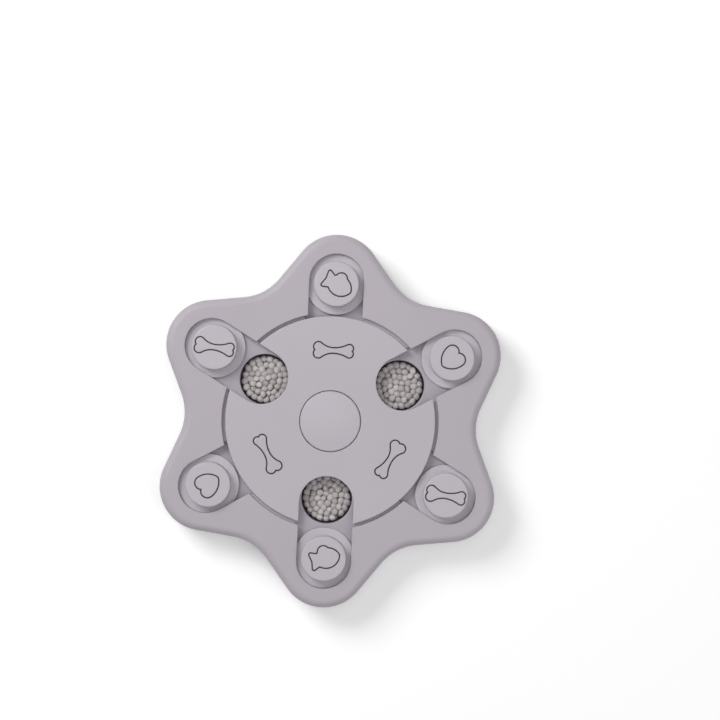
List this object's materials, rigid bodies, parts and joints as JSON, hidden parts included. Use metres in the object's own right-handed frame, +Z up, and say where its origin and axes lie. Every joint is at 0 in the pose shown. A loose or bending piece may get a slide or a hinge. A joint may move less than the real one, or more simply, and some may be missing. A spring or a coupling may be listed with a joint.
{
  "type": "dog puzzle feeder toy",
  "caption": "Star-shaped treat puzzle: sliding lids ride in radial channels and cover wells under a notched turntable with a squeaker button at its hub.",
  "frame": {"origin": "centre of the circle of feet, on the surface that the toy stands on", "axes": "+Z up; +Y from the centre through lid 1's lobe tip; lids numbered clockwise seen from above"},
  "size_m": [0.2118, 0.236, 0.0314],
  "materials": {
    "cover_plastic": "fine satin texture",
    "tray_plastic": "fine satin texture",
    "disc_plastic": "fine satin texture",
    "lid_plastic": "smooth satin",
    "button_plastic": "smooth satin",
    "reed_plastic": "smooth",
    "bellows_rubber": "matte rubber",
    "foot_rubber": "matte rubber",
    "screw_steel": "zinc plated",
    "kibble": "dry baked crumb"
  },
  "bodies": {
    "housing": {"top_cover": "cover_plastic", "treat_tray": "tray_plastic", "bottom_plate": "cover_plastic", "hub_ring": "tray_plastic", "hub_screws": "screw_steel", "cover_screws": "screw_steel", "squeaker_bellows": "bellows_rubber", "squeaker_reed": "reed_plastic", "foot_1": "foot_rubber", "foot_2": "foot_rubber", "foot_3": "foot_rubber", "foot_4": "foot_rubber", "foot_5": "foot_rubber", "foot_6": "foot_rubber", "kibble_well_2": "kibble", "kibble_well_4": "kibble", "kibble_well_6": "kibble"},
    "turntable": {"turntable": "disc_plastic"},
    "button": {"squeaker_button": "button_plastic"},
    "slider_1": {"slider_1_fish": "lid_plastic"},
    "slider_2": {"slider_2_heart": "lid_plastic"},
    "slider_3": {"slider_3_bone": "lid_plastic"},
    "slider_4": {"slider_4_fish": "lid_plastic"},
    "slider_5": {"slider_5_heart": "lid_plastic"},
    "slider_6": {"slider_6_bone": "lid_plastic"}
  },
  "joints": [
    {"name": "turntable_spin", "type": "hinge", "parent": "housing", "child": "turntable", "pos_m": [0, 0, 0.0235], "axis": [0, 0, 1], "range_deg": [-300, 360]},
    {"name": "slider_1_slide", "type": "slide", "parent": "housing", "child": "slider_1", "axis": [0, -1, 0], "range_m": [0, 0.0055]},
    {"name": "slider_2_slide", "type": "slide", "parent": "housing", "child": "slider_2", "axis": [-0.866, -0.5, 0], "range_m": [0, 0.036]},
    {"name": "slider_3_slide", "type": "slide", "parent": "housing", "child": "slider_3", "axis": [-0.866, 0.5, 0], "range_m": [0, 0.0055]},
    {"name": "slider_4_slide", "type": "slide", "parent": "housing", "child": "slider_4", "axis": [0, 1, 0], "range_m": [0, 0.036]},
    {"name": "slider_5_slide", "type": "slide", "parent": "housing", "child": "slider_5", "axis": [0.866, 0.5, 0], "range_m": [0, 0.0055]},
    {"name": "slider_6_slide", "type": "slide", "parent": "housing", "child": "slider_6", "axis": [0.866, -0.5, 0], "range_m": [0, 0.036]},
    {"name": "squeaker_press", "type": "slide", "parent": "housing", "child": "button", "axis": [0, 0, -1], "range_m": [0, 0.0025], "stiffness_N_per_m": 1500, "springref_m": -0.0005, "deforming": ["squeaker_bellows"]}
  ]
}
